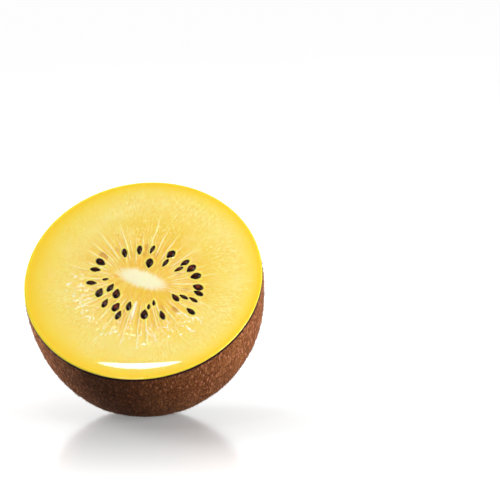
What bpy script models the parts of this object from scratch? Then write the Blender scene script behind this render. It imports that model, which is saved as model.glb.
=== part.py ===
"""Half of a golden kiwi fruit, cut across and lying on its skin with the cut face turned up.

The half is one grown body. It is modelled about its own axis, with the cut face at z = 0 looking up
and the blunt end below. It is then tipped over to the angle at which a half like this comes to rest,
and a small flat is pressed into the skin where it touches the table. The world's origin is the middle
of that flat. Units are metres, +Z is up, and the cut face looks towards -Y.
"""

import math
import random

import bmesh
import bpy
from mathutils import Matrix, Vector

MM = 0.001

# The body of the half
HALF_WIDTH = 26.0 * MM
HALF_THICKNESS = 24.5 * MM
LENGTH = 36.3 * MM
FULLNESS = 2.7
OVAL_TURN = math.radians(19.0)
CUT_EDGE_ROUND = 0.7 * MM
CUT_FACE_TILT = math.radians(25.0)
SEGMENTS = 88
SHARP_ANGLE = math.radians(40.0)
SKIN_STEP = 1.7 * MM
SCAR_STEP = 0.6 * MM
PROFILE_SAMPLES = 4000
MERGE_REACH = 0.01 * MM
FACE_RINGS = (4.0 * MM, 8.5 * MM, 13.0 * MM, 17.5 * MM, 22.0 * MM, 24.6 * MM)

# The skin swells and sinks a little, as a grown fruit does
SWELL = 0.22 * MM

# The stem scar in the blunt end: a shallow dimple with a raised lip and a corky button in it
DIMPLE_RADIUS = 4.6 * MM
DIMPLE_DEPTH = 1.0 * MM
DIMPLE_FLOOR = 0.62
LIP_HEIGHT = 0.35 * MM
LIP_WIDTH = 0.28
BUTTON_RADIUS = 1.7 * MM
BUTTON_HEIGHT = 0.6 * MM
SCAR_REACH = 1.6 * DIMPLE_RADIUS

# How it lies: the blunt end dips this far below the level, which is where the half balances
DIP = math.radians(38.0)
TIP_OVER = Matrix.Rotation(math.pi / 2 - DIP, 3, "X")
REST_SINK = 0.5 * MM

# The pale core in the middle of the cut face
CORE_HALF_LENGTH = 5.3 * MM
CORE_HALF_WIDTH = 2.2 * MM
CORE_RISE = 0.25 * MM
CORE_SINK = 1.2 * MM
CORE_TURN = math.radians(-20.0)
CORE_MIDDLE = Vector((-0.2 * MM, -0.1 * MM, 0.0))
# Locules run out from the core along curves that share the foci of an ellipse in the middle
FOCUS = 4.6 * MM
LOCULES = 36
LOCULE_TURN = math.radians(-17.0)
LOCULE_MIDDLE = Vector((-0.38 * MM, -0.75 * MM, 0.0))

# The walls between the locules stand a little proud of the cut
WALL_START = 4.2 * MM
WALL_LENGTH = (8.0 * MM, 11.5 * MM)
WALL_WIDTH = 0.5 * MM
WALL_RISE = 0.18 * MM
WALL_SINK = 0.5 * MM
WALL_CLEAR = 0.34
WALL_WANDER = 0.12

# How a seed shows in the cut: its length, width and how far it stands out of the flesh
SEED_LOOKS = {
    "broad": (2.35 * MM, 1.55 * MM, 0.50 * MM),
    "edge": (2.30 * MM, 1.10 * MM, 0.45 * MM),
    "thin": (2.20 * MM, 0.80 * MM, 0.35 * MM),
    "sliver": (1.40 * MM, 0.60 * MM, 0.25 * MM),
}
SEED_SINK = 0.6 * MM
SEED_TAPER = 0.45

# How many sides and rings round the mesh of each grain that stands out of the cut has
SEED_FINENESS = (10, 6)
WALL_FINENESS = (6, 5)
CORE_FINENESS = (20, 12)

# Each seed that the knife uncovered: its locule, counted anticlockwise from the core's right end,
# how many millimetres out from the core's line it lies, its look, and how far it leans in degrees
SEEDS = (
    (0.5, 12.0, "edge", -15),
    (1.2, 11.6, "broad", -15),
    (2.6, 11.1, "broad", 5),
    (3.7, 10.6, "broad", 20),
    (4.3, 7.9, "thin", 0),
    (4.7, 9.9, "edge", 5),
    (6.5, 6.6, "thin", 5),
    (6.8, 9.0, "broad", -5),
    (8.9, 4.9, "broad", 10),
    (9.3, 8.3, "thin", -10),
    (11.0, 7.8, "edge", 0),
    (13.2, 7.6, "edge", -10),
    (16.8, 9.3, "broad", -5),
    (18.1, 9.5, "edge", 10),
    (19.6, 6.4, "sliver", 10),
    (20.1, 9.9, "edge", -10),
    (21.7, 5.7, "edge", 30),
    (21.8, 8.6, "broad", 45),
    (23.5, 5.4, "broad", 35),
    (23.6, 8.9, "edge", 25),
    (25.1, 8.0, "broad", 5),
    (26.0, 9.4, "edge", 5),
    (26.7, 6.5, "edge", 10),
    (29.2, 8.0, "broad", -5),
    (29.9, 6.1, "sliver", -10),
    (30.9, 5.3, "sliver", -10),
    (31.5, 9.1, "edge", -5),
    (34.3, 12.5, "edge", -5),
    (34.8, 7.3, "edge", -20),
    (35.5, 9.0, "thin", -5),
    (35.6, 11.4, "thin", -10),
)


def clear_scene():
    for thing in list(bpy.data.objects):
        bpy.data.objects.remove(thing)


def linear(channel):
    """One sRGB channel, from 0 to 1, as linear light."""
    return channel / 12.92 if channel <= 0.04045 else ((channel + 0.055) / 1.055) ** 2.4


def make_material(name, hex_colour, roughness):
    material = bpy.data.materials.new(name)
    material.use_nodes = True
    shader = material.node_tree.nodes["Principled BSDF"]
    channels = [int(hex_colour[i : i + 2], 16) / 255 for i in (0, 2, 4)]
    shader.inputs["Base Color"].default_value = (*map(linear, channels), 1.0)
    shader.inputs["Roughness"].default_value = roughness
    shader.inputs["Metallic"].default_value = 0.0
    return material


def new_collection(name):
    collection = bpy.data.collections.new(name)
    bpy.context.scene.collection.children.link(collection)
    return collection


def add_object(name, mesh, collection, material=None):
    thing = bpy.data.objects.new(name, mesh)
    collection.objects.link(thing)
    if material:
        mesh.materials.append(material)
    return thing


def mesh_of(name, build):
    """A mesh named name, filled in by build, which gets an empty bmesh."""
    mesh = bpy.data.meshes.new(name)
    shape = bmesh.new()
    build(shape)
    bmesh.ops.recalc_face_normals(shape, faces=shape.faces)
    shape.to_mesh(mesh)
    shape.free()
    return mesh


def evaluated_mesh(thing):
    graph = bpy.context.evaluated_depsgraph_get()
    return bpy.data.meshes.new_from_object(thing.evaluated_get(graph), depsgraph=graph)


# The turned body


def stem_scar(radius):
    """How far the blunt end's surface moves out (+) or in (-) at this distance from the axis."""
    share = radius / DIMPLE_RADIUS
    dimple = -DIMPLE_DEPTH * math.exp(-((share / DIMPLE_FLOOR) ** 4))
    lip = LIP_HEIGHT * math.exp(-(((share - 1.0) / LIP_WIDTH) ** 2))
    button = BUTTON_HEIGHT * math.exp(-((radius / BUTTON_RADIUS) ** 6))
    return dimple + lip + button


def skin_profile():
    """The skin's profile as (radius, depth), from the cut to the axis, in closer steps at the scar."""
    points = [(HALF_WIDTH, CUT_EDGE_ROUND)]
    for count in range(PROFILE_SAMPLES):
        turn = count / PROFILE_SAMPLES * math.pi / 2
        radius = HALF_WIDTH * math.cos(turn) ** (2 / FULLNESS)
        depth = LENGTH * math.sin(turn) ** (2 / FULLNESS)
        step = SKIN_STEP if radius > SCAR_REACH else SCAR_STEP
        if depth > CUT_EDGE_ROUND and math.dist((radius, depth), points[-1]) > step:
            points.append((radius, depth))
    if points[-1][0] < SCAR_STEP / 2:
        points.pop()
    points.append((0.0, LENGTH))
    return [(radius, depth + stem_scar(radius)) for radius, depth in points]


def profile_points():
    """The turned profile, from the middle of the cut face over its edge and down the skin to the axis."""
    points = [(0.0, 0.0)] + [(radius, 0.0) for radius in FACE_RINGS]
    flat_radius = HALF_WIDTH - CUT_EDGE_ROUND
    for turn in (0.0, math.pi / 6, math.pi / 3):
        across = flat_radius + CUT_EDGE_ROUND * math.sin(turn)
        points.append((across, CUT_EDGE_ROUND * (1.0 - math.cos(turn))))
    return points + skin_profile()


def swell(angle, depth):
    """How much the skin stands out or in at this angle round the axis, at this depth below the cut."""
    down = depth / LENGTH
    slow = math.cos(2.0 * angle + 0.7) * math.sin(2.6 * down + 0.4)
    quick = 0.6 * math.cos(3.0 * angle - 1.1 + 2.0 * down) * math.sin(math.pi * down)
    return SWELL * (slow + quick) * min(1.0, 6.0 * down)


def press_flat(shape):
    """Presses the small flat that the half rests on, and gives back the middle of that flat."""
    lowest = min((TIP_OVER @ vertex.co for vertex in shape.verts), key=lambda p: p.z)
    touch = TIP_OVER.transposed() @ (lowest + Vector((0.0, 0.0, REST_SINK)))
    down = TIP_OVER.transposed() @ Vector((0.0, 0.0, -1.0))
    everything = shape.verts[:] + shape.edges[:] + shape.faces[:]
    bmesh.ops.bisect_plane(
        shape, geom=everything, dist=MERGE_REACH, plane_co=touch, plane_no=down, clear_outer=True
    )
    rim = [edge for edge in shape.edges if edge.is_boundary]
    flat = bmesh.ops.contextual_create(shape, geom=rim)["faces"][0]
    return flat.calc_center_bounds()


def turned_half(collection, skin, flesh):
    """The body as one closed mesh: a turned profile, pressed oval, swelled, and set on its flat."""
    profile = bpy.data.meshes.new("profile")
    points = [(radius, 0.0, -depth) for radius, depth in profile_points()]
    profile.from_pydata(points, [(i, i + 1) for i in range(len(points) - 1)], [])
    guide = add_object("profile", profile, collection)
    screw = guide.modifiers.new("turn", "SCREW")
    screw.steps = SEGMENTS
    screw.render_steps = SEGMENTS
    screw.use_merge_vertices = True
    screw.merge_threshold = MERGE_REACH
    body = evaluated_mesh(guide)
    body.name = "kiwi_half"
    bpy.data.objects.remove(guide)
    shape = bmesh.new()
    shape.from_mesh(body)
    bmesh.ops.remove_doubles(shape, verts=shape.verts, dist=MERGE_REACH)
    for vertex in shape.verts:
        out = Vector((vertex.co.x, vertex.co.y, 0.0))
        if out.length > 0:
            vertex.co += out.normalized() * swell(math.atan2(out.y, out.x), -vertex.co.z)
    bmesh.ops.scale(shape, vec=(1.0, HALF_THICKNESS / HALF_WIDTH, 1.0), verts=shape.verts)
    bmesh.ops.rotate(shape, matrix=Matrix.Rotation(OVAL_TURN, 3, "Z"), verts=shape.verts)
    rest_spot = press_flat(shape)
    bmesh.ops.recalc_face_normals(shape, faces=shape.faces)
    for face in shape.faces:
        face.material_index = 1 if face.normal.z > math.cos(CUT_FACE_TILT) else 0
    shape.to_mesh(body)
    shape.free()
    body.materials.clear()
    body.materials.append(skin)
    body.materials.append(flesh)
    return add_object("kiwi_half", body, collection), rest_spot


# What stands out of the cut face


def locule_place(locule, out):
    """Where a locule lies on the cut face, this far out from the core's line, and which way it runs."""
    angle = locule * 2.0 * math.pi / LOCULES
    wide = math.hypot(out, FOCUS)
    place = Vector((wide * math.cos(angle), out * math.sin(angle), 0.0))
    way = math.atan2(wide * math.sin(angle), out * math.cos(angle))
    return LOCULE_MIDDLE + Matrix.Rotation(LOCULE_TURN, 3, "Z") @ place, way + LOCULE_TURN


def grain_mesh(name, length, width, rise, sink, taper, fineness):
    """A grain lying along X that stands rise above z = 0 and goes sink below it, narrowed towards -X."""
    sides, rings = fineness

    def build(shape):
        bmesh.ops.create_uvsphere(shape, u_segments=sides, v_segments=rings, radius=1.0)
        bmesh.ops.rotate(shape, matrix=Matrix.Rotation(math.pi / 2, 3, "Y"), verts=shape.verts)
        for vertex in shape.verts:
            x, y, z = vertex.co
            narrow = 1.0 - taper * max(0.0, -x)
            height = rise if z > 0 else sink
            vertex.co = (x * length / 2, y * narrow * width / 2, z * narrow * height)

    return mesh_of(name, build)


def add_seeds(collection, material):
    for number, (locule, out, look, lean) in enumerate(SEEDS, 1):
        length, width, rise = SEED_LOOKS[look]
        mesh = grain_mesh("seed", length, width, rise, SEED_SINK, SEED_TAPER, SEED_FINENESS)
        seed = add_object(f"seed_{number}", mesh, collection, material)
        seed.location, way = locule_place(locule, out * MM)
        seed.rotation_euler.z = way + math.radians(lean)


def add_walls(collection, material):
    """The walls between the locules, left out where one would run through a seed."""
    draw = random.Random(7)
    for number in range(LOCULES):
        locule = number + 0.5 + draw.uniform(-WALL_WANDER, WALL_WANDER)
        length = draw.uniform(*WALL_LENGTH)
        if any(abs(locule - seed[0]) < WALL_CLEAR for seed in SEEDS):
            continue
        mesh = grain_mesh("wall", length, WALL_WIDTH, WALL_RISE, WALL_SINK, 0.0, WALL_FINENESS)
        wall = add_object(f"wall_{number}", mesh, collection, material)
        wall.location, way = locule_place(locule, WALL_START + length / 2)
        wall.rotation_euler.z = way


def add_core(collection, material):
    size = (2 * CORE_HALF_LENGTH, 2 * CORE_HALF_WIDTH)
    mesh = grain_mesh("core", *size, CORE_RISE, CORE_SINK, 0.0, CORE_FINENESS)
    core = add_object("core", mesh, collection, material)
    core.location = CORE_MIDDLE
    core.rotation_euler.z = CORE_TURN


def join_all(body, collection):
    """Joins everything in the collection to the body by one union, and removes what it joined."""
    union = body.modifiers.new("join", "BOOLEAN")
    union.operation = "UNION"
    union.operand_type = "COLLECTION"
    union.collection = collection
    union.solver = "EXACT"
    union.material_mode = "TRANSFER"
    joined = evaluated_mesh(body)
    body.modifiers.clear()
    body.data = joined
    for thing in list(collection.objects):
        bpy.data.objects.remove(thing)
    bpy.data.collections.remove(collection)


def main():
    clear_scene()
    fruit = new_collection("golden_kiwi_half")
    reliefs = new_collection("reliefs")
    skin = make_material("kiwi_skin", "8A5E3A", 0.75)
    flesh = make_material("kiwi_flesh", "F4CF52", 0.30)
    core = make_material("kiwi_core", "FBF0C0", 0.35)
    seed = make_material("kiwi_seed", "1E100B", 0.30)
    body, rest_spot = turned_half(fruit, skin, flesh)
    add_core(reliefs, core)
    add_walls(reliefs, flesh)
    add_seeds(reliefs, seed)
    join_all(body, reliefs)
    body.rotation_euler = TIP_OVER.to_euler()
    body.location = -(TIP_OVER @ rest_spot)
    body.data.shade_smooth()
    body.data.set_sharp_from_angle(angle=SHARP_ANGLE)


main()
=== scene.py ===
"""The looks of a golden kiwi half: wet golden flesh with core and seeds, and downy brown skin."""

import itertools
import math
from functools import partial

import bpy
import numpy as np
from mathutils import Matrix, Vector


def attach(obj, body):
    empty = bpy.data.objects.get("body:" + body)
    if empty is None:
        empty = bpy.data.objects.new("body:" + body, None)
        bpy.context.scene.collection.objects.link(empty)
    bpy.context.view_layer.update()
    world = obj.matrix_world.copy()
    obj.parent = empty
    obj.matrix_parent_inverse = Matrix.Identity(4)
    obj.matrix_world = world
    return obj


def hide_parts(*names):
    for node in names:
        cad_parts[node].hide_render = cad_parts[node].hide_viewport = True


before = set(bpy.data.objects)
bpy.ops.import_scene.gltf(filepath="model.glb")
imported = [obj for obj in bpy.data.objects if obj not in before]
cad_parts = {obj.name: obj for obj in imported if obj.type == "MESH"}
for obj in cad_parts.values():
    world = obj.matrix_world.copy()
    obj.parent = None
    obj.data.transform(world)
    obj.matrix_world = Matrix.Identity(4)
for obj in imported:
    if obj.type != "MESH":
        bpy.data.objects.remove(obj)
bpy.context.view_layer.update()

MM = 0.001

# The body of the half, in millimetres in the fruit's own frame, as the part's source has it.
# The cut face is at z = 0 there and looks along +Z, and the blunt end is below it.
HALF_WIDTH = 26.0
HALF_THICKNESS = 24.5
LENGTH = 36.3
FULLNESS = 2.7
PROFILE_SAMPLES = 6000
OVAL_TURN = math.radians(19.0)
SWELL = 0.22
DIMPLE_RADIUS = 4.6
DIMPLE_DEPTH = 1.0
DIMPLE_FLOOR = 0.62
LIP_HEIGHT = 0.35
LIP_WIDTH = 0.28
# The height of the dimple's middle
BLUNT_END = DIMPLE_DEPTH - LENGTH
DIP = math.radians(38.0)
FACE_MIDDLE = Vector((0.88, -11.68, 31.78)) * MM
FRUIT_FRAME = Matrix.Translation(FACE_MIDDLE) @ Matrix.Rotation(math.pi / 2 - DIP, 4, "X")

# The skin is a thin sheet over the flesh, and both end at the knife's edge
SKIN_THICKNESS = 0.34
SKIN_GAP = 0.02
SKIN_EDGE_DEPTH = 0.52
SKIN_COLUMNS = 480
SKIN_OUTER_STEP = 0.32
SKIN_INNER_STEP = 2.4
TABLE_GAP = 0.02
# A relief is its height, how far apart its swells lie, and the seed of its random values. The
# skin's three grow from nothing at the knife's edge to their full height over the fade.
SKIN_RELIEFS = ((0.10, 5.0, 11), (0.05, 1.1, 12), (0.04, 0.55, 13))
RELIEF_FADE = 1.0
# The cut edge of the skin is ragged, and its middle stands up; the two rows below it darken
# towards it
EDGE_RELIEF = (0.06, 0.8, 14)
EDGE_RISE = 0.18
EDGE_DARKNESS = (0.35, 0.9)

# Hairs, each a bent spike with three sides: how many, how long, and their radius at the root
HAIRS = 12000
HAIR_LENGTH = (0.45, 1.0)
HAIR_RADIUS = 0.024
# Where they start below the knife's edge, the scatter in radians of the way they lie, and how much
# of their length their tips rise
HAIR_START = 0.5
HAIR_SWING = 0.75
HAIR_RISE = (0.12, 0.42)
# How deep the root sits, and the knee's share of the tip's rise and of the root's radius
ROOT_SINK = 0.05
KNEE_RISE = 0.75
KNEE_RADIUS = 0.8
# A hair's faces, as numbers of its own points: a root and a knee on each of its sides, and the tip
HAIR_POINTS = 7
HAIR_FACES = ((0, 2, 3, 1), (2, 4, 5, 3), (4, 0, 1, 5), (1, 3, 6), (3, 5, 6), (5, 1, 6), (4, 2, 0))

# The corky button in the dimple: how torn its edge is, its height with one round wave and with
# ribs, how far it is pressed in, its middle, and its foot below the skin
SCAR_COLUMNS = 72
SCAR_ROWS = 18
SCAR_FIRST_ROW = 0.04
SCAR_RADIUS = 2.1
SCAR_TORN = 0.16
SCAR_HEIGHT = 0.55
SCAR_WAVE = 0.12
SCAR_RIBS = 0.10
SCAR_RELIEF = (0.08, 0.35, 31)
SCAR_SINK = 0.1
SCAR_MIDDLE = 0.5
SCAR_FOOT = 0.3
SCAR_FOOT_SHARE = 0.9

# The cut face, and its edge that swells over the thin skin, as radius and depth
FLESH_COLUMNS = 576
UNDER_STEP = 3.6
RIM_RADIUS = 25.93
# Rows of the face's mesh up to each radius, closer together where the juice lies along the rim
FACE_ROWS = (0, 20, 108, 144, 150)
ROW_RADII = (0.0, 4.8, 20.6, 24.2, RIM_RADIUS)
RIM_EDGE = ((25.97, 0.14), (25.96, 0.26), (25.88, 0.36), (25.66, 0.42))
# How much painted brown shade the flesh has at each of those, down to where the skin begins
RIM_SHADE = (0.15, 0.9, 1.0, 1.0)
# A shallow lens of juice lies along the lower rim: the ends and the bow of its upper edge, how far
# its lower edge stays from the rim at the left, at the right and how much more between, how steep
# it is, how softly it begins and ends, and the least share of a way down the face that leads
# towards the rim
JUICE_ENDS = ((-10.1, -20.55), (12.4, -19.65))
JUICE_BOW = -0.60
JUICE_FROM_RIM = (2.65, 2.05, 0.27)
JUICE_SLOPE = math.tan(math.radians(4.0))
JUICE_SOFTNESS = 0.055
JUICE_TOWARDS_RIM = 0.3
# The flesh's colours run inwards from the rim over this much, and the golden band along the rim is
# this share wider towards one side of the face
RIM_REACH = 16.0
GOLD_WIDER = 0.9
GOLD_SIDE = math.radians(190.0)
# The side under the skin counts as this far out from the core
HIDDEN_OUT = 20.0

# The pale core, and the curves along which the locules leave it
CORE_HALF_LENGTH = 5.3
CORE_HALF_WIDTH = 1.95
CORE_RISE = 0.05
CORE_TURN = math.radians(-20.0)
CORE_MIDDLE = (-0.2, -0.1)
# Where the core begins and where it is full, as shares of its size, and the two reliefs that fray
# its edge, for points on a circle with a radius of 1
CORE_EDGE = (1.34, 0.66)
CORE_FRAYS = ((0.10, 0.05, 51), (0.07, 0.02, 52))
FOCUS = 4.6
LOCULES = 36
LOCULE_TURN = math.radians(-17.0)
LOCULE_MIDDLE = (-0.38, -0.75)
LOCULE_ANGLE = 2.0 * math.pi / LOCULES

# How a seed shows in the cut: its length, width and how far it stands out of the flesh
SEED_LOOKS = {
    "broad": (2.35, 1.55, 0.50),
    "edge": (2.30, 1.10, 0.45),
    "thin": (2.20, 0.80, 0.35),
    "sliver": (1.40, 0.60, 0.25),
}
SEED_SINK = 0.6
SEED_TAPER = 0.45
SEED_COLUMNS = 28
SEED_ROWS = 20
# Pits in the seeds' coat, as a relief for a seed of this radius, and how much further on in the
# noise each next seed's pits are
SEED_PITS = (0.014, 0.16, 71)
PITS_RADIUS = 0.6
PITS_APART = 7.0
# The least and most of how light a seed's top is, its own red-brown with a painted highlight
SEED_TONE = (0.6, 1.0)
# Round each seed the flesh has a pale ring and, close by, a brown edge of painted shade: between
# which distances from the seed they fade, and how strong they are. It swells there, by this height,
# distance and width, and sinks under the seed.
RING_OUTSIDE = (0.62, 0.36)
RING_INSIDE = (0.0, 0.22)
RING_STRENGTH = 0.9
SHADE_EDGE = (0.2, 0.0)
SHADE_STRENGTH = 0.6
SWELLING = (0.07, 0.3, 0.2)
SOCKET_DEPTH = 0.30
SOCKET_SIDE = (0.0, -0.25)
# Each seed that the knife uncovered: its locule, counted anticlockwise from the core's right end,
# how many millimetres out from the core's line it lies, its look, and how far it leans in degrees
SEEDS = (
    (0.5, 12.0, "edge", -15),
    (1.2, 11.6, "broad", -15),
    (2.6, 11.1, "broad", 5),
    (3.7, 10.6, "broad", 20),
    (4.3, 7.9, "thin", 0),
    (4.7, 9.9, "edge", 5),
    (6.5, 6.6, "thin", 5),
    (6.8, 9.0, "broad", -5),
    (8.9, 4.9, "broad", 10),
    (9.3, 8.3, "thin", -10),
    (11.0, 7.8, "edge", 0),
    (13.2, 7.6, "edge", -10),
    (16.8, 9.3, "broad", -5),
    (18.1, 9.5, "edge", 10),
    (19.6, 6.4, "sliver", 10),
    (20.1, 9.9, "edge", -10),
    (21.7, 5.7, "edge", 30),
    (21.8, 8.6, "broad", 45),
    (23.5, 5.4, "broad", 35),
    (23.6, 8.9, "edge", 25),
    (25.1, 8.0, "broad", 5),
    (26.0, 9.4, "edge", 5),
    (26.7, 6.5, "edge", 10),
    (29.2, 8.0, "broad", -5),
    (29.9, 6.1, "sliver", -10),
    (30.9, 5.3, "sliver", -10),
    (31.5, 9.1, "edge", -5),
    (34.3, 12.5, "edge", -5),
    (34.8, 7.3, "edge", -20),
    (35.5, 9.0, "thin", -5),
    (35.6, 11.4, "thin", -10),
)
# Seeds that lie deeper show as brown shadows with soft sides: how tapered and how strong all are,
# and each one's locule, way out, length, width and strength
SUNKEN_TAPER = 0.3
SUNKEN_SIDE = (0.45, -0.3)
SUNKEN_STRENGTH = 0.75
SUNKEN_SEEDS = (
    (0.7, 8.9, 1.6, 0.8, 0.5),
    (3.5, 7.4, 1.4, 0.8, 0.4),
    (8.4, 7.1, 1.6, 0.7, 0.4),
    (10.1, 8.6, 1.8, 0.6, 0.7),
    (10.2, 6.9, 1.4, 0.8, 0.4),
    (12.1, 6.9, 1.4, 0.8, 0.3),
    (13.9, 9.1, 1.4, 0.6, 0.4),
    (15.8, 9.8, 2.2, 1.1, 0.8),
    (24.4, 6.5, 1.8, 0.6, 0.4),
    (26.5, 9.0, 2.4, 0.8, 0.5),
    (31.9, 7.4, 1.4, 0.6, 0.5),
    (33.3, 9.4, 1.8, 0.9, 0.8),
)

# The walls between locules, and the finer fibres between those: the least and most of how far out
# they end, how wide they are and how strong
WALL_LOOKS = ((13.0, 18.5), (0.10, 0.17), (0.75, 1.0))
FIBRE_LOOKS = ((10.0, 16.0), (0.07, 0.11), (0.35, 0.9))
# How far out both start, how many millimetres they take to appear and to fade, how much of a
# locule they may stand aside, how they wander as a relief, and how high they stand
WALL_START = (3.5, 6.5)
WALL_FADES = (2.0, 5.0)
WALL_ASIDE = 0.16
WALL_WANDER = (0.08, 2.5, 41)
WALL_RISE = 0.10
# One wall lies bared as a wet whitish strip: its locule, where it starts and ends, its width and
# fades
STRIP_LOCULE = 27.65
STRIP_ENDS = (4.6, 10.0)
STRIP_WIDTH = 0.24
STRIP_FADES = (1.0, 1.5)
# Curled shreds of pale tissue: how many, between which locules, and how far out, as mean and
# scatter
SHREDS = 110
SHRED_LOCULES = (19.0, 35.0)
SHRED_OUT = (13.4, 1.5)
# Each is an arc: how many radians it may turn aside, and the least and most of its radius, of half
# its length, of its width and of its strength. It fades past its ends, and stands up by the rise.
SHRED_TURN = 0.9
SHRED_RADIUS = (0.5, 1.3)
SHRED_LOOKS = ((0.2, 0.6), (0.07, 0.11), (0.5, 1.2))
SHRED_FADE = (0.1, -0.15)
SHRED_RISE = 0.05
# Wet cells swell by this little all over, and by more in a band below the seeds, given as heights
# on the face and ways out. A broader swell lies over them, and both stop short of the juice at the
# rim.
CELL_SWELLS = (0.004, 0.03)
CELL_RELIEF = (1.0, 0.42, 61)
BROAD_RELIEF = (0.012, 1.3, 62)
BAND_BELOW = (2.0, -6.0)
BAND_START = (8.0, 11.0)
BAND_END = (17.0, 13.0)
CALM_BAND = (4.5, 6.0)


# Numbers

# Where the random draws for the hairs, the walls, the shreds and the seeds start
HAIR_DRAWS, WALL_DRAWS, SHRED_DRAWS, SEED_DRAWS = 21, 5, 12, 8
# Large primes that scatter a corner of the noise's lattice and its seed, and spread their bits
CORNER_PRIMES = (73856093, 19349663, 83492791)
SEED_PRIME = 374761393
SPREAD_PRIMES = (668265263, 2246822519)
RANGE_PRIME = 4294967291
NOISE_LEVELS = 65536


def lattice_noise(points, cell, seed):
    """Smooth random values from -1 to 1 at points (..., 3), with swells about cell across."""
    scaled = np.asarray(points, float) / cell
    base = np.floor(scaled).astype(np.int64)
    share = scaled - base
    share = share * share * (3.0 - 2.0 * share)
    total = np.zeros(scaled.shape[:-1])
    for corner in itertools.product((0, 1), repeat=3):
        key = (base + np.array(corner)) * np.array(CORNER_PRIMES)
        mixed = key[..., 0] ^ key[..., 1] ^ key[..., 2]
        mixed = (mixed + seed * SEED_PRIME) * SPREAD_PRIMES[0] % RANGE_PRIME
        mixed = (mixed ^ mixed >> 15) * SPREAD_PRIMES[1] % RANGE_PRIME
        value = 2.0 * (mixed % NOISE_LEVELS) / (NOISE_LEVELS - 1) - 1.0
        weight = np.prod(np.where(corner, share, 1.0 - share), axis=-1)
        total += weight * value
    return total


def relief(points, height, cell, seed):
    """How far the surface swells out (+) or in (-) at points."""
    return height * lattice_noise(points, cell, seed)


def smooth_step(low, high, value):
    """0 where value is below low, 1 above high, and a smooth rise between."""
    share = np.clip((np.asarray(value, float) - low) / (high - low), 0.0, 1.0)
    return share * share * (3.0 - 2.0 * share)


def bell(value, width):
    """1 where value is 0, falling smoothly to about a third at width."""
    return np.exp(-((np.asarray(value, float) / width) ** 2))


def round_angles(count):
    """Even angles round a ring, as one row."""
    return np.linspace(0.0, 2.0 * math.pi, count, endpoint=False)[None, :]


# The body's shape


def stem_scar(radius):
    """How far the blunt end's surface moves out (+) or in (-) at this distance from the axis."""
    share = radius / DIMPLE_RADIUS
    dimple = -DIMPLE_DEPTH * np.exp(-((share / DIMPLE_FLOOR) ** 4))
    return dimple + LIP_HEIGHT * bell(share - 1.0, LIP_WIDTH)


def skin_profile(step):
    """The profile's radius, depth and way along, in even steps from the edge to near the axis."""
    turn = np.linspace(0.0, math.pi / 2, PROFILE_SAMPLES)
    radius = HALF_WIDTH * np.cos(turn) ** (2 / FULLNESS)
    depth = LENGTH * np.sin(turn) ** (2 / FULLNESS)
    kept = depth > SKIN_EDGE_DEPTH
    radius = np.concatenate(([HALF_WIDTH], radius[kept]))
    depth = np.concatenate(([SKIN_EDGE_DEPTH], depth[kept]))
    depth = depth + stem_scar(radius)
    along = np.concatenate(([0.0], np.cumsum(np.hypot(np.diff(radius), np.diff(depth)))))
    places = np.linspace(0.0, along[-1], int(along[-1] / step) + 1)[:-1]
    return np.interp(places, along, radius), np.interp(places, along, depth), places


def swell(angle, depth):
    """How far the skin stands out or in, at this angle round the axis and depth below the cut."""
    down = depth / LENGTH
    slow = np.cos(2.0 * angle + 0.7) * np.sin(2.6 * down + 0.4)
    quick = 0.6 * np.cos(3.0 * angle - 1.1 + 2.0 * down) * np.sin(math.pi * down)
    return SWELL * (slow + quick) * np.clip(6.0 * down, 0.0, 1.0)


def body_points(angle, radius, depth):
    """Points of the body in the fruit's frame, from round measures: pressed oval and turned."""
    out = radius + swell(angle, depth)
    across = out * np.cos(angle)
    upward = out * np.sin(angle) * HALF_THICKNESS / HALF_WIDTH
    x = across * math.cos(OVAL_TURN) - upward * math.sin(OVAL_TURN)
    y = across * math.sin(OVAL_TURN) + upward * math.cos(OVAL_TURN)
    return np.stack([x, y, 0.0 * x - depth], axis=-1)


def grid_normals(grid):
    """Outward normals of a grid (rows down the profile, columns round the axis)."""
    round_about = np.roll(grid, -1, axis=1) - np.roll(grid, 1, axis=1)
    down = np.gradient(grid, axis=0)
    normal = np.cross(down, round_about)
    return normal / np.linalg.norm(normal, axis=-1, keepdims=True)


def on_table(points):
    """Points in millimetres in the fruit's own frame, as metres in the frame of the table."""
    turn = np.array(FRUIT_FRAME.to_3x3())
    return np.asarray(points, float).reshape(-1, 3) @ turn.T * MM + np.array(FACE_MIDDLE)


def above_table(grid, gap):
    """Lifts what would be lower than gap above the table up to that height."""
    upward = np.array(FRUIT_FRAME.to_3x3())[2]
    height = grid @ upward + FACE_MIDDLE.z / MM
    return grid + np.maximum(gap - height, 0.0)[..., None] * upward


# Places on the cut face


def from_place(x, y, place, way):
    """Points seen from a place on the face, as complex numbers whose real axis runs along way."""
    return (x - place[0] + 1j * (y - place[1])) * np.exp(-1j * way)


def locule_place(locule, out):
    """Where a locule lies on the cut face, this far out from the core's line, and its way there."""
    angle = locule * LOCULE_ANGLE
    wide = math.hypot(out, FOCUS)
    across, upward = wide * math.cos(angle), out * math.sin(angle)
    way = math.atan2(wide * math.sin(angle), out * math.cos(angle)) + LOCULE_TURN
    x = LOCULE_MIDDLE[0] + across * math.cos(LOCULE_TURN) - upward * math.sin(LOCULE_TURN)
    y = LOCULE_MIDDLE[1] + across * math.sin(LOCULE_TURN) + upward * math.cos(LOCULE_TURN)
    return x, y, way


def locule_measures(x, y):
    """The locule number and the way out of points on the face, and millimetres a locule there."""
    bent = np.arccosh(from_place(x, y, LOCULE_MIDDLE, LOCULE_TURN) / FOCUS)
    out = FOCUS * np.sinh(np.abs(bent.real))
    angle = np.where(bent.real < 0, -bent.imag, bent.imag) % (2.0 * math.pi)
    spread = np.sqrt(out**2 + (FOCUS * np.sin(angle)) ** 2) * LOCULE_ANGLE
    return angle / LOCULE_ANGLE, out, spread


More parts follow.
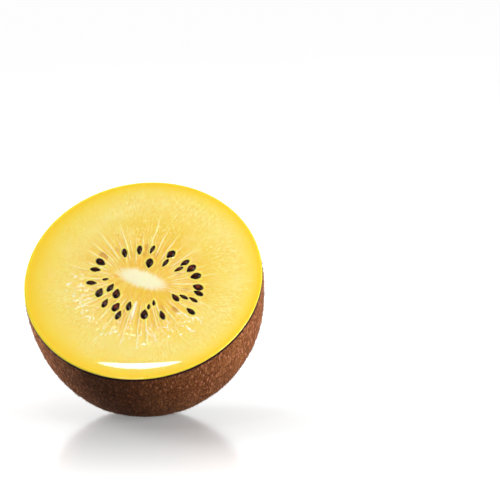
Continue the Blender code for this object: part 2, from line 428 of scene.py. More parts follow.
def outside_grain(x, y, px, py, way, length, width, taper):
    """How far points lie outside a grain's outline on the face; less than 0 is inside it."""
    dx, dy = x - px, y - py
    along = dx * math.cos(way) + dy * math.sin(way)
    across = dy * math.cos(way) - dx * math.sin(way)
    narrow = 1.0 - taper * np.clip(-2.0 * along / length, 0.0, 1.0)
    share = np.hypot(2.0 * along / length, 2.0 * across / (width * narrow)) + 1e-6
    return np.hypot(along, across) * (1.0 - 1.0 / share)


# Meshes


def smooth_mesh(name, points, faces):
    """A smoothly shaded mesh from points in metres in the frame of the table."""
    mesh = bpy.data.meshes.new(name)
    mesh.from_pydata(points.tolist(), [], faces)
    mesh.shade_smooth()
    return mesh


def ring_mesh(name, rings, first, last):
    """A closed mesh from rings (rows, columns, 3) in millimetres, closed by a point at each end."""
    rows, columns = rings.shape[:2]
    points = on_table(np.concatenate(([first], rings.reshape(-1, 3), [last])))
    column = np.arange(columns)
    after = (column + 1) % columns
    start = 1 + columns * np.arange(rows - 1)[:, None]
    quads = np.stack(
        [start + column, start + columns + column, start + columns + after, start + after], axis=-1
    ).reshape(-1, 4)
    end = len(points) - 1
    final = 1 + columns * (rows - 1)
    fans = [(0, 1 + i, 1 + (i + 1) % columns) for i in range(columns)]
    fans += [(end, final + (i + 1) % columns, final + i) for i in range(columns)]
    return smooth_mesh(name, points, quads.tolist() + fans)


# How many numbers a point value of each kind has, and what Blender calls it
POINT_KINDS = {
    "FLOAT": (1, "value"),
    "FLOAT_VECTOR": (3, "vector"),
    "FLOAT_COLOR": (4, "color"),
}


def point_values(mesh, name, kind, values, ends):
    """Stores a value a point: a grid of values for the rings, and one value for both end points."""
    width, key = POINT_KINDS[kind]
    end = np.full((1, width), ends, float)
    flat = np.concatenate((end, np.asarray(values, float).reshape(-1, width), end))
    attribute = mesh.attributes.new(name, kind, "POINT")
    attribute.data.foreach_set(key, flat.astype(np.float32).ravel())


def add_piece(name, mesh, material):
    """Adds a mesh as a piece that rides with the half and stands for it."""
    piece = bpy.data.objects.new(name, mesh)
    bpy.context.scene.collection.objects.link(piece)
    mesh.materials.append(material)
    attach(piece, "root")
    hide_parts("kiwi_half")


# Materials

# A pattern's scale is how often it repeats in a unit of its coordinates, so each is the length of
# that unit over the pattern's real size, both in millimetres. The unit of plain coordinates is the
# metre. The skin's own run 0.9 mm a unit down the fruit and 0.3 mm round it. The flesh's rays run
# 6 mm a unit outwards, and round the core on a circle with a radius of 9 units.
METRE = 1000.0
SKIN_UNIT = 0.9
SKIN_UNIT_ROUND = 0.3
RAY_UNIT = 6.0
RAY_TURNS = 9.0
SMOOTH = {"interpolation_type": "SMOOTHSTEP"}
TIMES = {"operation": "MULTIPLY"}


def linear(hex_colour):
    """An sRGB hex colour as linear light with full alpha."""
    channels = [int(hex_colour[i : i + 2], 16) / 255 for i in (0, 2, 4)]
    light = [c / 12.92 if c <= 0.04045 else ((c + 0.055) / 1.055) ** 2.4 for c in channels]
    return (*light, 1.0)


def add_node(tree, kind, inputs=(), output=0, **settings):
    """Adds a node with its settings and inputs, which are values or sockets; gives one output."""
    node = tree.nodes.new("ShaderNode" + kind)
    for number, (place, colour) in enumerate(settings.pop("stops", ())):
        stops = node.color_ramp.elements
        # A new ramp has two stops
        stop = stops[number] if number < 2 else stops.new(place)
        stop.position = place
        stop.color = linear(colour)
    for name, value in settings.items():
        setattr(node, name, value)
    for socket, value in inputs.items() if isinstance(inputs, dict) else enumerate(inputs):
        if isinstance(value, bpy.types.NodeSocket):
            tree.links.new(value, node.inputs[socket])
        else:
            node.inputs[socket].default_value = value
    return node.outputs[output]


def new_material(name):
    """A new material, what adds nodes to it, and its Principled shader."""
    material = bpy.data.materials.new(name)
    material.use_nodes = True
    tree = material.node_tree
    return material, partial(add_node, tree), tree.nodes["Principled BSDF"]


def finish_material(material, shader, paint, layers, normal, settings):
    """Lays colours over the paint, each as much as its share says, and sets the shader."""
    tree = material.node_tree
    for share, colour in layers:
        # Inputs 0, 6 and 7 are the share and the two colours, and output 2 is the blended colour
        blend = {0: share, 6: paint, 7: linear(colour)}
        paint = add_node(tree, "Mix", blend, 2, data_type="RGBA")
    tree.links.new(paint, shader.inputs["Base Color"])
    tree.links.new(normal, shader.inputs["Normal"])
    for socket, value in settings.items():
        shader.inputs[socket].default_value = value
    return material


def wet_flesh():
    """Ripe golden kiwi flesh, cut and wet: light comes back yellow from inside; juice shines."""
    material, node, shader = new_material("wet_golden_flesh")
    tissue = node("Attribute", attribute_name="tissue").node.outputs
    core, rings, wall = node("SeparateColor", (tissue["Color"],)).node.outputs[:3]
    from_rim = node("Attribute", (), "Fac", attribute_name="from_rim")
    way_out = node("Attribute", (), "Fac", attribute_name="way_out")
    shreds = node("Attribute", (), "Fac", attribute_name="shreds")
    ray = node("Attribute", (), "Vector", attribute_name="ray")
    place = node("TexCoord", (), "Object")

    # Lemon on the cut edge, gold inside it, pale outer flesh and deeper gold inwards
    depth = node("Math", (from_rim, RIM_REACH), operation="DIVIDE")
    paint = node("ValToRGB", (depth,), stops=(
        (0.0, "FFEA30"),
        (0.004, "FFDC2C"),
        (0.035, "FFD228"),
        (0.10, "FED948"),
        (0.20, "FCDE65"),
        (0.34, "FADF79"),
        (0.55, "F8DA67"),
        (0.75, "F6D14F"),
        (1.0, "F5CC3E"),
    ))

    # Cloudy patches of paler flesh, 6 mm across
    clouds = node("TexNoise", {"Vector": place, "Scale": METRE / 5.9, "Detail": 3.0})
    clouds = node("MapRange", (clouds, 0.46, 0.72, 0.0, 0.5), **SMOOTH)
    cloudy = node("Math", (node("MapRange", (from_rim, 1.0, 5.0), **SMOOTH), clouds), **TIMES)

    # Deeper gold from the core to past the seeds, in wedges 5.5 mm long that follow the locules
    wedges = node("TexNoise", {"Vector": ray, "Scale": RAY_UNIT / 5.5})
    wedges = node("MapRange", (wedges, 0.36, 0.62, 0.1, 1.0), **SMOOTH)
    amber = node("Math", (node("MapRange", (way_out, 16.5, 8.0), **SMOOTH), wedges), **TIMES)

    # Grains of cells drawn out along the rays, 0.3 by 0.9 mm, pale and golden, in patches of 8 mm
    grain = node("TexNoise", {"Vector": ray, "Scale": RAY_UNIT / 0.92, "Roughness": 0.65})
    thick = node("TexNoise", {"Vector": place, "Scale": METRE / 8.3})
    thick = node("MapRange", (thick, 0.38, 0.62, 0.25, 0.8), **SMOOTH)
    thick = node("Math", (node("MapRange", (from_rim, 0.6, 5.0), **SMOOTH), thick), **TIMES)
    pale_grains = node("Math", (node("MapRange", (grain, 0.5, 0.68), **SMOOTH), thick), **TIMES)
    gold_grains = node("Math", (node("MapRange", (grain, 0.5, 0.34), **SMOOTH), thick), **TIMES)

    # Fine pale fibres that run out from the core, 0.3 mm wide and 2 mm long
    fibre = node("TexNoise", {
        "Vector": ray,
        "Scale": RAY_UNIT / 2.14,
        "Detail": 3.0,
        "Roughness": 0.65,
    })
    reach = node("MapRange", (way_out, 21.0, 10.0, 0.1, 1.0), **SMOOTH)
    fibres = node("MapRange", (fibre, 0.52, 0.70, 0.0, 0.5), **SMOOTH)
    fibres = node("Math", (fibres, reach), **TIMES)

    layers = (
        (cloudy, "FDEA94"),
        (amber, "F2BE3C"),
        (pale_grains, "FEEE9C"),
        (gold_grains, "F7CF52"),
        (fibres, "FDE784"),
        (wall, "FFF6BE"),
        (shreds, "FFFCEE"),
        # Brown of the deeper seeds, and painted brown shade round the seeds and along the rolled
        # edge
        (tissue["Alpha"], "C87826"),
        (rings, "FFE868"),
        (core, "FFF4CA"),
    )
    normal = node("Bump", {"Height": fibre, "Distance": 0.06 * MM, "Strength": 0.5})
    normal = node("Bump", {
        "Height": grain,
        "Distance": 0.05 * MM,
        "Strength": 0.5,
        "Normal": normal,
    })
    return finish_material(material, shader, paint, layers, normal, {
        "Roughness": 0.4,
        "IOR": 1.36,
        "Specular IOR Level": 0.35,
        "Subsurface Weight": 0.4,
        "Subsurface Radius": (0.5, 0.9, 0.3),
        "Subsurface Scale": MM,
        "Coat Weight": 0.7,
        "Coat Roughness": 0.04,
        "Coat IOR": 1.36,
    })


def hard_seed():
    """A kiwi seed's coat: hard, glossy and nearly black, red-brown on top, partly as a painted
    highlight, with fine pits.
    """
    material, node, shader = new_material("glossy_seed_coat")
    # How light each seed is towards its top: partly its own red-brown, partly a painted highlight
    crown_highlight = node("Attribute", (), "Fac", attribute_name="crown_highlight")
    place = node("TexCoord", (), "Object")
    paint = node("ValToRGB", (crown_highlight,), stops=(
        (0.0, "080303"),
        (0.45, "120604"),
        (0.75, "44160A"),
        (1.0, "7A301A"),
    ))

    # Some seeds are olive on top, in patches 4 mm across, and all are pitted every 0.17 mm
    olive = node("TexNoise", {"Vector": place, "Scale": METRE / 3.85})
    olive = node("MapRange", (olive, 0.52, 0.62, 0.0, 0.6), **SMOOTH)
    olive = node("Math", (olive, crown_highlight), **TIMES)
    pits = node("TexNoise", {"Vector": place, "Scale": METRE / 0.17})
    normal = node("Bump", {"Height": pits, "Distance": 0.03 * MM, "Strength": 0.6})
    return finish_material(material, shader, paint, ((olive, "33301F"),), normal, {
        "Roughness": 0.17,
        "IOR": 1.45,
        "Specular IOR Level": 0.2,
    })


def downy_skin():
    """Kiwi skin: a dry corky brown sheet, mottled, with pale reddish warts and dark pores."""
    material, node, shader = new_material("downy_brown_skin")
    lip = node("Attribute", (), "Fac", attribute_name="cut_edge")
    lie = node("Attribute", (), "Vector", attribute_name="lie")
    place = node("TexCoord", (), "Object")

    # Broad mottling, 6 mm across
    mottling = node("TexNoise", {"Vector": place, "Scale": METRE / 6.25, "Detail": 4.0})
    paint = node("ValToRGB", (mottling,), stops=((0.3, "7C4320"), (0.5, "9E5B33"), (0.7, "BC7746")))

    # A fine fleck along the fruit, 0.3 by 0.9 mm
    fleck = node("TexNoise", {"Vector": lie, "Scale": SKIN_UNIT / 0.9, "Roughness": 0.6})
    pale_flecks = node("MapRange", (fleck, 0.50, 0.70, 0.0, 0.75), **SMOOTH)
    dark_flecks = node("MapRange", (fleck, 0.52, 0.34, 0.0, 0.8), **SMOOTH)

    # Warts in cells 0.8 by 2.4 mm, where the hairs grow, and sparser dark pores, 2.4 mm apart
    warts = node("TexVoronoi", {"Vector": lie, "Scale": SKIN_UNIT / 2.4})
    warts = node("MapRange", (warts, 0.42, 0.16, 0.0, 0.75), **SMOOTH)
    pores = node("TexVoronoi", {"Vector": place, "Scale": METRE / 2.38})
    pores = node("MapRange", (pores, 0.18, 0.10, 0.0, 0.6), **SMOOTH)

    layers = (
        (pale_flecks, "D68C56"),
        (dark_flecks, "5A2A10"),
        (warts, "EE9C72"),
        (pores, "2A120B"),
        (lip, "2A0A1C"),
    )
    normal = node("Bump", {"Height": fleck, "Distance": 0.2 * MM, "Strength": 0.8})
    normal = node("Bump", {
        "Height": warts,
        "Distance": 0.1 * MM,
        "Strength": 0.7,
        "Normal": normal,
    })
    return finish_material(material, shader, paint, layers, normal, {
        "Roughness": 0.65,
        "Specular IOR Level": 0.05,
        "Sheen Weight": 0.03,
        "Sheen Roughness": 0.4,
        "Sheen Tint": linear("E2B48A"),
    })


def dry_hair():
    """The skin's own hairs, dry and pale brown, some lighter than others, changing every 1.1 mm."""
    material, node, shader = new_material("dry_pale_hair")
    place = node("TexCoord", (), "Object")
    tone = node("TexNoise", {"Vector": place, "Scale": METRE / 1.11, "Detail": 1.0})
    paint = node("ValToRGB", (tone,), stops=((0.35, "6C3C1C"), (0.55, "A26238"), (0.7, "D08C58")))
    normal = node("Bump", {"Height": tone, "Distance": 0.02 * MM, "Strength": 0.3})
    settings = {"Roughness": 0.6, "Specular IOR Level": 0.08}
    return finish_material(material, shader, paint, (), normal, settings)


def corky_scar():
    """The dry cork where the stem broke away: grey-brown and dull, with fibres 0.4 mm apart."""
    material, node, shader = new_material("corky_stem_scar")
    place = node("TexCoord", (), "Object")
    fibre = node("TexNoise", {"Vector": place, "Scale": METRE / 0.385, "Detail": 5.0})
    paint = node("ValToRGB", (fibre,), stops=((0.3, "2A1A12"), (0.5, "4E3626"), (0.72, "84664A")))
    normal = node("Bump", {"Height": fibre, "Distance": 0.3 * MM, "Strength": 0.8})
    return finish_material(material, shader, paint, (), normal, {"Roughness": 0.9})


def white_acrylic():
    """A polished white acrylic sheet that mirrors what stands on it, and is plain further out,
    where it glows more as painted light.
    """
    material, node, shader = new_material("white_acrylic_sheet")
    place = node("TexCoord", (), "Object")
    away = node("VectorMath", (place,), "Value", operation="LENGTH")
    mirroring = node("MapRange", (away, 5 * MM, 90 * MM, 1.0, 0.0), **SMOOTH)
    # Painted light: the sheet glows, least beside the half and most far from it
    painted_glow = node("MapRange", (away, 10 * MM, 100 * MM, 0.25, 0.82), **SMOOTH)
    links = material.node_tree.links
    links.new(mirroring, shader.inputs["Specular IOR Level"])
    links.new(painted_glow, shader.inputs["Emission Strength"])
    shader.inputs["Emission Color"].default_value = (1.0, 1.0, 1.0, 1.0)
    shader.inputs["Base Color"].default_value = linear("A0A0A0")
    shader.inputs["Roughness"].default_value = 0.16
    shader.inputs["IOR"].default_value = 2.2
    return material


# The skin


def outer_skin():
    """The skin's outer grid with its relief, its normals, and the way along the profile."""
    radius, depth, along = skin_profile(SKIN_OUTER_STEP)
    smooth = body_points(round_angles(SKIN_COLUMNS), radius[:, None], depth[:, None])
    normal = grid_normals(smooth)
    swells = sum(relief(smooth, *settings) for settings in SKIN_RELIEFS)
    swells *= smooth_step(0.0, RELIEF_FADE, along)[:, None]
    return smooth + swells[..., None] * normal, normal, along


def make_skin():
    """The skin as a closed sheet: its outside, its ragged cut edge, and a coarser inside."""
    outer, normal, along = outer_skin()
    every = int(SKIN_INNER_STEP / SKIN_OUTER_STEP)
    upward = np.array([0.0, 0.0, 1.0])
    inner = (outer - SKIN_THICKNESS * normal)[::every]
    middle = outer[:1] - 0.5 * SKIN_THICKNESS * normal[:1] + EDGE_RISE * upward
    ragged = relief(outer[:1], *EDGE_RELIEF)[..., None] * upward
    outer = above_table(outer, TABLE_GAP)
    inner = above_table(inner, SKIN_THICKNESS)
    outer[0] += ragged[0]
    inner[0] += ragged[0]
    rings = np.concatenate((outer[::-1], middle + ragged, inner))
    ends = (0.0, 0.0, BLUNT_END), (0.0, 0.0, BLUNT_END + SKIN_THICKNESS)
    mesh = ring_mesh("skin", rings, *ends)

    edge = np.zeros(rings.shape[:2])
    edge[len(outer) - 3 : len(outer) - 1] = np.array(EDGE_DARKNESS)[:, None]
    edge[len(outer) - 1 :] = 1.0
    way = np.concatenate((along[::-1], [0.0], along[::every]))[:, None]
    down = np.broadcast_to(way / SKIN_UNIT, rings.shape[:2])
    lie = np.dstack((rings[..., 0] / SKIN_UNIT_ROUND, rings[..., 1] / SKIN_UNIT_ROUND, down))
    point_values(mesh, "cut_edge", "FLOAT", edge, 0.0)
    point_values(mesh, "lie", "FLOAT_VECTOR", lie, 0.0)
    add_piece("skin", mesh, downy_skin())


def make_hairs():
    """Short hairs over the skin, lying mostly towards the blunt end."""
    outer, normal, along = outer_skin()
    draw = np.random.default_rng(HAIR_DRAWS)
    girth = np.linalg.norm(np.roll(outer, -1, axis=1) - outer, axis=-1)
    chance = girth * (along > HAIR_START)[:, None]
    chance = (chance / chance.sum()).ravel()
    chosen = draw.choice(chance.size, HAIRS, replace=False, p=chance)
    root = outer.reshape(-1, 3)[chosen]
    up = normal.reshape(-1, 3)[chosen]
    down_skin = np.gradient(outer, axis=0).reshape(-1, 3)[chosen]
    down_skin /= np.linalg.norm(down_skin, axis=1, keepdims=True)
    side = np.cross(up, down_skin)
    swing = draw.normal(0.0, HAIR_SWING, HAIRS)[:, None]
    lay = np.cos(swing) * down_skin + np.sin(swing) * side
    length = draw.uniform(*HAIR_LENGTH, HAIRS)[:, None]
    rise = draw.uniform(*HAIR_RISE, HAIRS)[:, None]
    knee = root + length * (0.5 * lay + KNEE_RISE * rise * up)
    tip = root + length * (lay + rise * up)
    cross = np.cross(lay, up)
    points = []
    for corner in range(3):
        turn = 2 * corner * math.pi / 3
        ray = math.cos(turn) * cross + math.sin(turn) * up
        points.append(root - ROOT_SINK * up + HAIR_RADIUS * ray)
        points.append(knee + KNEE_RADIUS * HAIR_RADIUS * ray)
    points.append(tip)
    strands = above_table(np.stack(points, axis=1), 2 * TABLE_GAP)
    starts = range(0, HAIRS * HAIR_POINTS, HAIR_POINTS)
    faces = [[start + corner for corner in face] for start in starts for face in HAIR_FACES]
    mesh = smooth_mesh("skin_hairs", on_table(strands), faces)
    add_piece("skin_hairs", mesh, dry_hair())


def make_scar():
    """The corky button in the dimple of the blunt end, with torn edges of the old stem round it."""
    angle = round_angles(SCAR_COLUMNS)
    share = np.linspace(SCAR_FIRST_ROW, 1.0, SCAR_ROWS)[:, None]
    torn = 1.0 + SCAR_TORN * np.sin(9 * angle + 1.3 * np.sin(2 * angle)) * share**3
    radius = SCAR_RADIUS * share * torn
    height = SCAR_HEIGHT * (1.0 - share**5) + SCAR_WAVE * np.cos(4.0 * math.pi * share)
    height = height + SCAR_RIBS * np.abs(np.sin(4.5 * angle + 0.6)) * share**2
    top = np.stack(
        [radius * np.cos(angle), radius * np.sin(angle), BLUNT_END - height + SCAR_SINK], axis=-1
    )
    top[..., 2] += relief(top, *SCAR_RELIEF)
    narrow = SCAR_FOOT_SHARE * radius[-1:]
    low = BLUNT_END + SCAR_FOOT
    foot = np.stack([narrow * np.cos(angle), narrow * np.sin(angle), low + 0.0 * angle], axis=-1)
    rings = np.concatenate((top, foot))[:, ::-1]
    mesh = ring_mesh("stem_scar", rings, (0.0, 0.0, BLUNT_END - SCAR_MIDDLE), (0.0, 0.0, low))
    add_piece("stem_scar", mesh, corky_scar())


# The flesh


def fading_line(apart, out, ends, width, strength, fades):
    """A line that runs outwards, and appears and fades over its first and last millimetres."""
    line = strength * bell(apart, width)
    line *= smooth_step(ends[0], ends[0] + fades[0], out)
    line *= smooth_step(ends[1], ends[1] - fades[1], out)
    return line


def wall_mask(locule, out, spread, points):
    """Where the pale walls between the locules show, and finer fibres between them."""
    draw = np.random.default_rng(WALL_DRAWS)
    wander = relief(points, *WALL_WANDER)
    total = np.zeros(out.shape)
    for number in range(2 * LOCULES):
        centre = (number + 1) / 2 + draw.uniform(-WALL_ASIDE, WALL_ASIDE)
        start = draw.uniform(*WALL_START)
        looks = FIBRE_LOOKS if number % 2 else WALL_LOOKS
        end, width, strength = (draw.uniform(*limits) for limits in looks)
        apart = (locule - centre + wander + LOCULES / 2) % LOCULES - LOCULES / 2
        line = fading_line(apart * spread, out, (start, end), width, strength, WALL_FADES)
        total = np.maximum(total, line)
    return total


def shred_mask(x, y, locule, out, spread):
    """Where pale wet tissue stands up below the seeds: one broad strip, and an arc of shreds."""
    draw = np.random.default_rng(SHRED_DRAWS)
    apart = (locule - STRIP_LOCULE) * spread
    total = fading_line(apart, out, STRIP_ENDS, STRIP_WIDTH, 1.0, STRIP_FADES)
    for place in draw.uniform(*SHRED_LOCULES, SHREDS):
        px, py, way = locule_place(place, draw.normal(*SHRED_OUT))
        way += draw.uniform(-SHRED_TURN, SHRED_TURN)
        radius = draw.uniform(*SHRED_RADIUS) * draw.choice((-1.0, 1.0))
        half, width, strength = (draw.uniform(*limits) for limits in SHRED_LOOKS)
        flat = from_place(x, y, (px, py), way)
        apart = np.hypot(flat.real, flat.imag - radius) - abs(radius)
        along = np.abs(radius * np.arctan2(flat.real, np.sign(radius) * (radius - flat.imag)))
        fade = smooth_step(half + SHRED_FADE[0], half + SHRED_FADE[1], along)
        total = np.maximum(total, strength * bell(apart, width) * fade)
    return np.minimum(total, 1.0)


def core_shape(x, y, ray):
    """How much of each point is core, and how high the core stands up there."""
    flat = from_place(x, y, CORE_MIDDLE, CORE_TURN)
    share = np.hypot(flat.real / CORE_HALF_LENGTH, flat.imag / CORE_HALF_WIDTH)
    fray = sum(relief(ray, *settings) for settings in CORE_FRAYS)
    return smooth_step(*CORE_EDGE, share + fray), CORE_RISE * np.clip(1.0 - share**2, 0.0, 1.0)


def seed_marks(x, y):
    """The pale rings and painted brown shade that seeds give the flesh, and how it swells and sinks
    for them.
    """
    rings, brown, height = np.zeros((3, *x.shape))
    swelling, distance, wide = SWELLING
    for locule, out, look, lean in SEEDS:
        px, py, way = locule_place(locule, out)
        way += math.radians(lean)
        gap = outside_grain(x, y, px, py, way, *SEED_LOOKS[look][:2], SEED_TAPER)
        ring = smooth_step(*RING_OUTSIDE, gap) * smooth_step(*RING_INSIDE, gap)
        rings = np.maximum(rings, RING_STRENGTH * ring)
        # Painted brown shade close round each seed, where it meets the flesh
        brown = np.maximum(brown, SHADE_STRENGTH * smooth_step(*SHADE_EDGE, gap))
        height += swelling * bell(gap - distance, wide)
        height -= SOCKET_DEPTH * smooth_step(*SOCKET_SIDE, gap)
    for locule, out, length, width, strength in SUNKEN_SEEDS:
        gap = outside_grain(x, y, *locule_place(locule, out), length, width, SUNKEN_TAPER)
        brown = np.maximum(brown, SUNKEN_STRENGTH * strength * smooth_step(*SUNKEN_SIDE, gap))
    return rings, brown, height


def wet_cells(points, out, from_rim):
    """How much the swollen wet cells of the flesh stand up."""
    below = smooth_step(*BAND_BELOW, points[..., 1])
    band = below * smooth_step(*BAND_START, out) * smooth_step(*BAND_END, out)
    cells = (CELL_SWELLS[0] + CELL_SWELLS[1] * band) * relief(points, *CELL_RELIEF)
    return smooth_step(*CALM_BAND, from_rim) * (cells + relief(points, *BROAD_RELIEF))


def soft_positive(value):
    """The value where it is above 0 and 0 below, with a soft bend between."""
    return JUICE_SOFTNESS * np.logaddexp(0.0, value / JUICE_SOFTNESS)


def juice_lens(x, y, from_rim):
    """How deep the face sinks over the lens of juice, leaning down from a straight upper edge."""
    (x0, y0), (x1, y1) = JUICE_ENDS
    share = (x - x0) / (x1 - x0)
    arch = 4.0 * share * (1.0 - share)
    past_edge = y0 + share * (y1 - y0) + JUICE_BOW * arch - y
    left, right, between = JUICE_FROM_RIM
    lower_edge = left + share * (right - left) + between * arch
    towards_rim = np.maximum(-y / np.hypot(x, y), JUICE_TOWARDS_RIM)
    width = soft_positive(past_edge + (from_rim - lower_edge) / towards_rim)
    sunk = soft_positive(past_edge) - soft_positive(past_edge - width)
    return np.where(y < 0.0, JUICE_SLOPE * sunk, 0.0)


def make_flesh():
    """The flesh as a closed body: the cut face, its rolled edge, and the side under the skin."""
    angle = round_angles(FLESH_COLUMNS)
    radius = np.interp(np.arange(1, FACE_ROWS[-1] + 1), FACE_ROWS, ROW_RADII)[:, None]
    face = body_points(angle, radius, 0.0)
    x, y = face[..., 0], face[..., 1]
    from_rim = RIM_RADIUS - radius + 0.0 * angle
    locule, out, spread = locule_measures(x, y)
    turn = locule * LOCULE_ANGLE
    ray = np.stack([np.cos(turn), np.sin(turn), np.zeros_like(turn)], axis=-1)
    core, height = core_shape(x, y, ray)
    wall = wall_mask(locule, out, spread, face)
    shreds = shred_mask(x, y, locule, out, spread)
    rings, brown, swelling = seed_marks(x, y)
    height += WALL_RISE * wall + SHRED_RISE * shreds + swelling + wet_cells(face, out, from_rim)
    face[..., 2] = height - juice_lens(x, y, from_rim)

    skin_gap = SKIN_THICKNESS + SKIN_GAP
    edge = np.concatenate([body_points(angle, wide, deep) for wide, deep in RIM_EDGE])
    radius, depth, _ = skin_profile(UNDER_STEP)
    under = body_points(angle, radius[1:, None], depth[1:, None])
    under = above_table(under - skin_gap * grid_normals(under), skin_gap)
    grid = np.concatenate((face, edge, under))
    middle = (0.0, 0.0, float(face[0, :, 2].mean()))
    mesh = ring_mesh("flesh", grid, middle, (0.0, 0.0, BLUNT_END + skin_gap))

    hidden = np.zeros((len(edge) + len(under), FLESH_COLUMNS))
    tissue = np.stack([core, rings, wall, brown], axis=-1)
    tissue = np.concatenate((tissue, np.zeros((*hidden.shape, 4))))
    # Painted brown shade on the rolled edge, darkening down towards the skin
    tissue[len(face) : len(face) + len(edge), :, 3] = np.array(RIM_SHADE)[:, None]
    fibre = np.stack([RAY_TURNS * ray[..., 0], RAY_TURNS * ray[..., 1], out / RAY_UNIT], axis=-1)
    fibre = np.concatenate((fibre, np.zeros((*hidden.shape, 3))))
    wider = 1.0 + GOLD_WIDER * np.clip(np.cos(angle + OVAL_TURN - GOLD_SIDE), 0.0, 1.0)
    point_values(mesh, "tissue", "FLOAT_COLOR", tissue, (1.0, 0.0, 0.0, 0.0))
    point_values(mesh, "from_rim", "FLOAT", np.concatenate((from_rim / wider, hidden)), RIM_REACH)
    point_values(mesh, "way_out", "FLOAT", np.concatenate((out, hidden + HIDDEN_OUT)), 0.0)
    point_values(mesh, "ray", "FLOAT_VECTOR", fibre, 0.0)
    point_values(mesh, "shreds", "FLOAT", np.concatenate((shreds, hidden)), 0.0)
    add_piece("flesh", mesh, wet_flesh())


# The seeds


def grain_faces(first):
    """The faces of a seed whose points start at this number: a tip, rows of columns, and a tip."""
    faces = []
    last = first + 1 + SEED_ROWS * SEED_COLUMNS
    for i in range(SEED_COLUMNS):
        after = (i + 1) % SEED_COLUMNS
        faces.append((first, first + 1 + after, first + 1 + i))
        faces.append((last, last - SEED_COLUMNS + i, last - SEED_COLUMNS + after))
        for a in range(first + 1, last - SEED_COLUMNS, SEED_COLUMNS):
            b = a + SEED_COLUMNS
            faces.append((a + i, a + after, b + after, b + i))
    return faces


def make_seeds():
    """All the seeds as one piece: drop-shaped grains with pits, pointed towards the core."""
    turn = round_angles(SEED_COLUMNS)
    tilt = np.linspace(0.0, math.pi, SEED_ROWS + 2)[1:-1][:, None]
    along = -np.cos(tilt) + 0.0 * turn
    across, up = np.sin(tilt) * np.cos(turn), np.sin(tilt) * np.sin(turn)
    narrow = 1.0 - SEED_TAPER * np.clip(-along, 0.0, 1.0)
    # Lighter towards the top of each seed: partly its own red-brown, partly a painted highlight
    crown_highlight = np.clip(up * np.sin(tilt), 0.0, 1.0)
    draw = np.random.default_rng(SEED_DRAWS)
    points, faces, crown_highlights = [], [], []
    for number, (locule, out, look, lean) in enumerate(SEEDS):
        length, width, rise = SEED_LOOKS[look]
        px, py, way = locule_place(locule, out)
        way += math.radians(lean)
        tall = np.where(up > 0, rise, SEED_SINK)
        grid = np.stack(
            [along * length / 2, across * narrow * width / 2, up * narrow * tall], axis=-1
        )
        pits = relief(grid + PITS_APART * number, *SEED_PITS)
        grid *= 1.0 + pits[..., None] / PITS_RADIUS
        tip = np.array([[length / 2, 0.0, 0.0]])
        local = np.concatenate((-tip, grid.reshape(-1, 3), tip))
        x = px + local[:, 0] * math.cos(way) - local[:, 1] * math.sin(way)
        y = py + local[:, 0] * math.sin(way) + local[:, 1] * math.cos(way)
        faces += grain_faces(number * len(local))
        points.append(on_table(np.stack([x, y, local[:, 2]], axis=-1)))
        crown_highlights.extend([0.0, *(draw.uniform(*SEED_TONE) * crown_highlight).ravel(), 0.0])
    mesh = smooth_mesh("seeds", np.concatenate(points), faces)
    attribute = mesh.attributes.new("crown_highlight", "FLOAT", "POINT")
    attribute.data.foreach_set("value", np.array(crown_highlights, np.float32))
    add_piece("seeds", mesh, hard_seed())


# The studio

CAMERA_AZIMUTH = math.radians(5.8)
CAMERA_RISE = math.radians(8.0)
CAMERA_DISTANCE = 0.6
FRAME_WIDTH = 108.34 * MM
SENSOR = 36.0
CLIP_START = 0.01
# The half stands left of and below the middle of the picture by this much
AIM_RIGHT = 23.20 * MM
AIM_UP = 6.10 * MM
# The middle of the lens of juice on the cut face, and how far off the light stands that it mirrors
GLINT_SPOT = (0.9 * MM, -21.4 * MM)
GLINT_AWAY = 0.5
# Where the other lights point, and each light's place and size in metres and power in watts
LIGHTS_AIM = (0.0, 0.0, 0.025)
LEFT_RIM_LIGHT = ((-0.60, 0.28, 0.26), (0.3, 0.4), 8.0)
RIGHT_LIGHT = ((0.52, -0.40, 0.265), (0.3, 0.3), 5.35)
GLINT_SIZE = (0.054, 0.054)
GLINT_POWER = 0.38
FLOOR_HALF_WIDTH = 6.0


def studio_camera():
    """A long lens at the photograph's height and angle, with its framing; gives the way to it."""
    back = Vector((
        math.sin(CAMERA_AZIMUTH) * math.cos(CAMERA_RISE),
        -math.cos(CAMERA_AZIMUTH) * math.cos(CAMERA_RISE),
        math.sin(CAMERA_RISE),
    ))
    right = Vector((math.cos(CAMERA_AZIMUTH), math.sin(CAMERA_AZIMUTH), 0.0))
    up = back.cross(right)
    aim = FACE_MIDDLE + right * AIM_RIGHT + up * AIM_UP
    data = bpy.data.cameras.new("studio_camera")
    data.sensor_width = SENSOR
    data.lens = SENSOR * CAMERA_DISTANCE / FRAME_WIDTH
    data.clip_start = CLIP_START
    camera = bpy.data.objects.new("studio_camera", data)
    bpy.context.scene.collection.objects.link(camera)
    camera.location = FACE_MIDDLE + back * CAMERA_DISTANCE
    camera.rotation_euler = (aim - camera.location).to_track_quat("-Z", "Y").to_euler()
    bpy.context.scene.camera = camera
    return back


def soft_light(name, target, place, size, power, shape="RECTANGLE"):
    """Adds a softbox at a place, turned to its target."""
    data = bpy.data.lights.new(name, "AREA")
    data.shape = shape
    data.size, data.size_y = size
    data.energy = power
    light = bpy.data.objects.new(name, data)
    bpy.context.scene.collection.objects.link(light)
    light.location = place
    light.rotation_euler = (Vector(target) - Vector(place)).to_track_quat("-Z", "Y").to_euler()


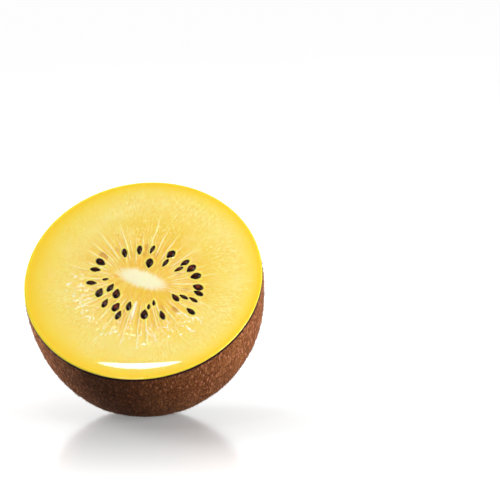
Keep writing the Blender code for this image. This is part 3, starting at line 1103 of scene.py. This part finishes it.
def glint_light(back):
    """A small round softbox, placed where the lens of juice on the lower rim mirrors it."""
    face_right, face_up, face_out = FRUIT_FRAME.to_3x3().col
    normal = (face_out - JUICE_SLOPE * face_up).normalized()
    spot = FACE_MIDDLE + GLINT_SPOT[0] * face_right + GLINT_SPOT[1] * face_up
    ray = 2.0 * normal.dot(back) * normal - back
    soft_light("glint_light", spot, spot + GLINT_AWAY * ray, GLINT_SIZE, GLINT_POWER, "ELLIPSE")


def studio():
    """Camera, lights, backdrop and floor, as the photograph has them."""
    glint_light(studio_camera())
    soft_light("left_rim_light", LIGHTS_AIM, *LEFT_RIM_LIGHT)
    soft_light("right_light", LIGHTS_AIM, *RIGHT_LIGHT)

    world = bpy.data.worlds.new("studio_world")
    bpy.context.scene.world = world
    world.use_nodes = True
    node = partial(add_node, world.node_tree)
    # Bright behind the half and dark in front of it, dimmer overhead, and nearly black below
    way = node("SeparateXYZ", (node("TexCoord", (), "Generated"),)).node.outputs
    rear = node("MapRange", (way["Y"], -0.6, 0.3, 0.05, 1.15), **SMOOTH)
    above = node("MapRange", (way["Z"], 0.0, 0.9, 1.0, 0.55), **SMOOTH)
    upper = node("MapRange", (way["Z"], -0.15, 0.0, 0.04, 1.0), **SMOOTH)
    light = node("Math", (node("Math", (rear, above), **TIMES), upper), **TIMES)
    # The studio's dark front side only lights: looked at straight, the backdrop is white all round
    light = node("Math", (light, node("LightPath", (), "Is Camera Ray")), operation="MAXIMUM")
    background = world.node_tree.nodes["Background"]
    background.inputs["Color"].default_value = (1.0, 1.0, 1.0, 1.0)
    world.node_tree.links.new(light, background.inputs["Strength"])

    side = FLOOR_HALF_WIDTH
    corners = [(-side, -side, 0.0), (side, -side, 0.0), (side, side, 0.0), (-side, side, 0.0)]
    floor_mesh = bpy.data.meshes.new("studio_floor")
    floor_mesh.from_pydata(corners, [], [(0, 1, 2, 3)])
    floor = bpy.data.objects.new("studio_floor", floor_mesh)
    bpy.context.scene.collection.objects.link(floor)
    floor.visible_diffuse = False
    floor_mesh.materials.append(white_acrylic())

    bpy.context.scene.view_settings.view_transform = "Standard"


make_skin()
make_hairs()
make_scar()
make_flesh()
make_seeds()
studio()
